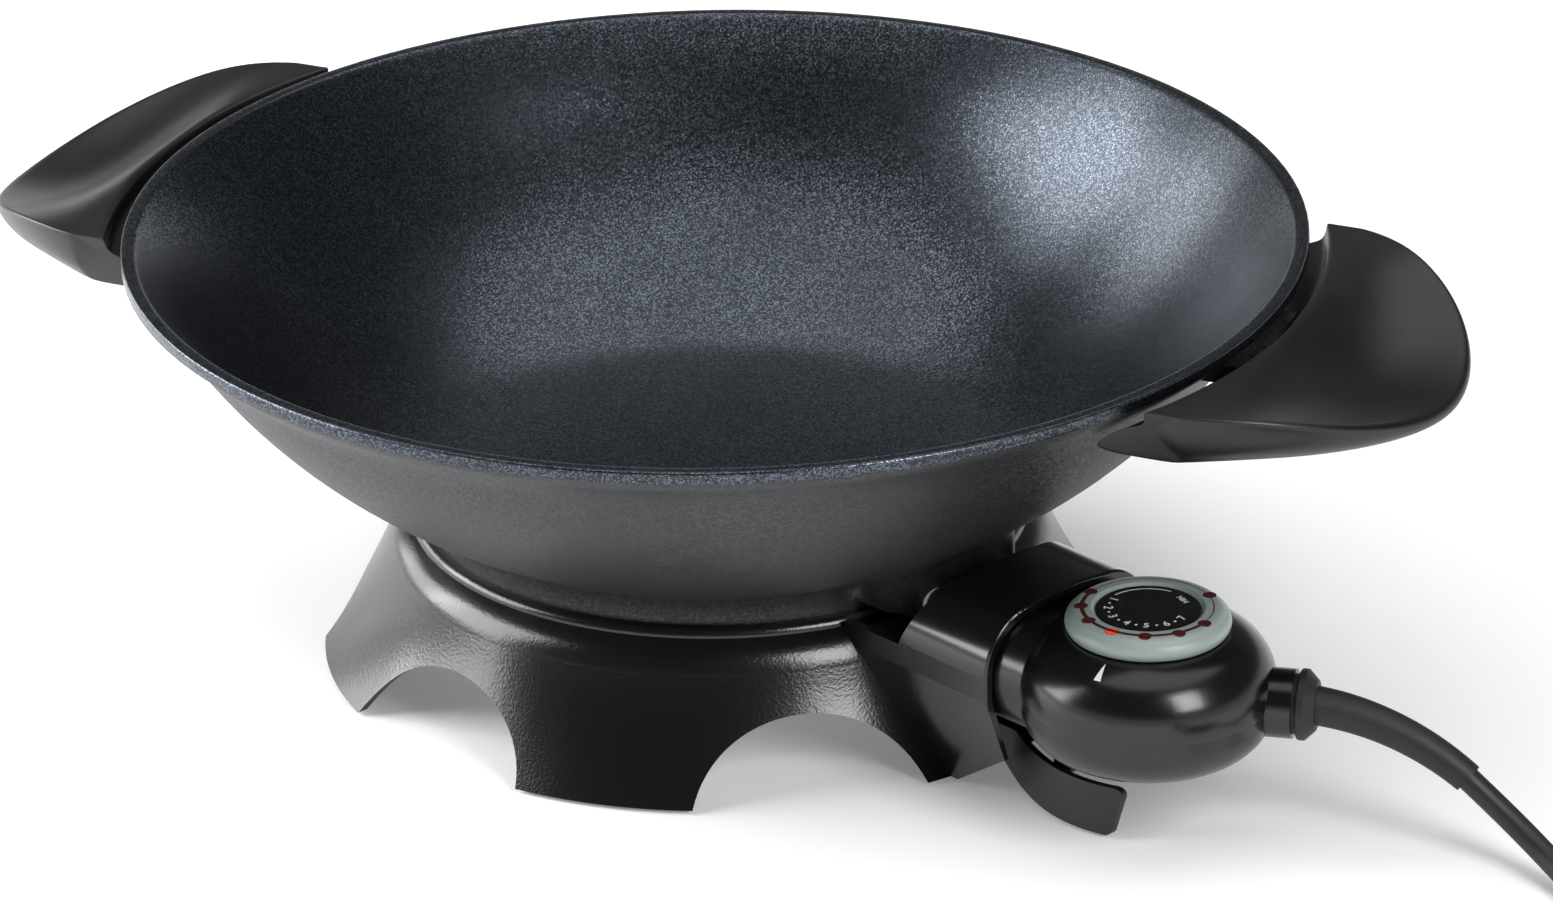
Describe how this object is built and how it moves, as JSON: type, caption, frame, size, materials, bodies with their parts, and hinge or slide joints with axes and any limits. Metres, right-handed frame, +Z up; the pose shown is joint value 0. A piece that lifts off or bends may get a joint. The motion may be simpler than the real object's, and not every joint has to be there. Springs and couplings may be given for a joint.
{
  "type": "electric wok",
  "caption": "Deep cast electric wok on a footed plastic ring base, with dished side handles, and a plug-in dial control and mains lead in a bridge.",
  "frame": {"origin": "on the table, under the middle of the bowl, where the handles and the control balance about the middle of the object's outline", "axes": "+Z up; -Y from the bowl towards the control; +Y away from it; +X to the right when seen from the control"},
  "size_m": [0.355, 0.6552, 0.1356],
  "materials": {
    "pan_coating": "cast, with a dark fine-speckled non-stick coating",
    "element_steel": "heat-tinted tube",
    "ceramic": "glazed ceramic",
    "nickel_plate": "nickel plated",
    "pressed_steel": "pressed, plain",
    "screw_steel": "zinc plated",
    "handle_phenolic": "satin",
    "base_plastic": "fine grain, glossy on the bridge",
    "black_rubber": "matt",
    "control_plastic": "glossy",
    "nose_phenolic": "satin",
    "contact_brass": "plain",
    "probe_steel": "ground",
    "lamp_glass": "clear",
    "dial_grey": "satin",
    "lens_red": "glossy",
    "dial_black": "glossy",
    "cord_rubber": "matt"
  },
  "bodies": {
    "pan_and_base": {"pan_bowl": "pan_coating", "heating_element": "element_steel", "terminal_beads": "ceramic", "terminal_pins": "nickel_plate", "left_handle": "handle_phenolic", "right_handle": "handle_phenolic", "handle_screws": "screw_steel", "base_shell": "base_plastic", "rubber_feet": "black_rubber", "base_screws": "screw_steel", "heat_shield": "pressed_steel", "lever_pin": "screw_steel", "lever_spring": "screw_steel"},
    "control": {"control_upper_shell": "control_plastic", "control_lower_shell": "control_plastic", "shell_screws": "screw_steel", "nose_insulator": "nose_phenolic", "contact_clips": "contact_brass", "probe_rod": "probe_steel", "thermostat_frame": "pressed_steel", "bimetal_blade": "contact_brass", "contact_blades": "contact_brass", "indicator_lamp": "lamp_glass", "terminal_block": "ceramic", "cord_flange": "cord_rubber", "cord_sleeve": "cord_rubber", "cord_tube": "cord_rubber", "cord_coil": "cord_rubber", "plug_body": "cord_rubber", "plug_pins": "nickel_plate", "plug_earth_clips": "nickel_plate"},
    "dial": {"dial_ring": "dial_grey", "dial_lens_ring": "lens_red", "dial_disc": "dial_black", "dial_spindle": "nose_phenolic"},
    "lever": {"release_lever": "control_plastic"}
  },
  "joints": [
    {"name": "control_unplug", "type": "slide", "parent": "pan_and_base", "child": "control", "axis": [0, -1, 0], "range_m": [0, 0.06]},
    {"name": "dial_turn", "type": "hinge", "parent": "control", "child": "dial", "pos_m": [0, -0.1816, 0.066], "axis": [0, 0, 1], "range_deg": [-88, 214]},
    {"name": "lever_swing", "type": "hinge", "parent": "pan_and_base", "child": "lever", "pos_m": [0.011, -0.101, 0.009], "axis": [0, 0, -1], "range_deg": [0, 10], "stiffness_Nm_per_rad": 0.05, "springref_deg": -11.46}
  ]
}
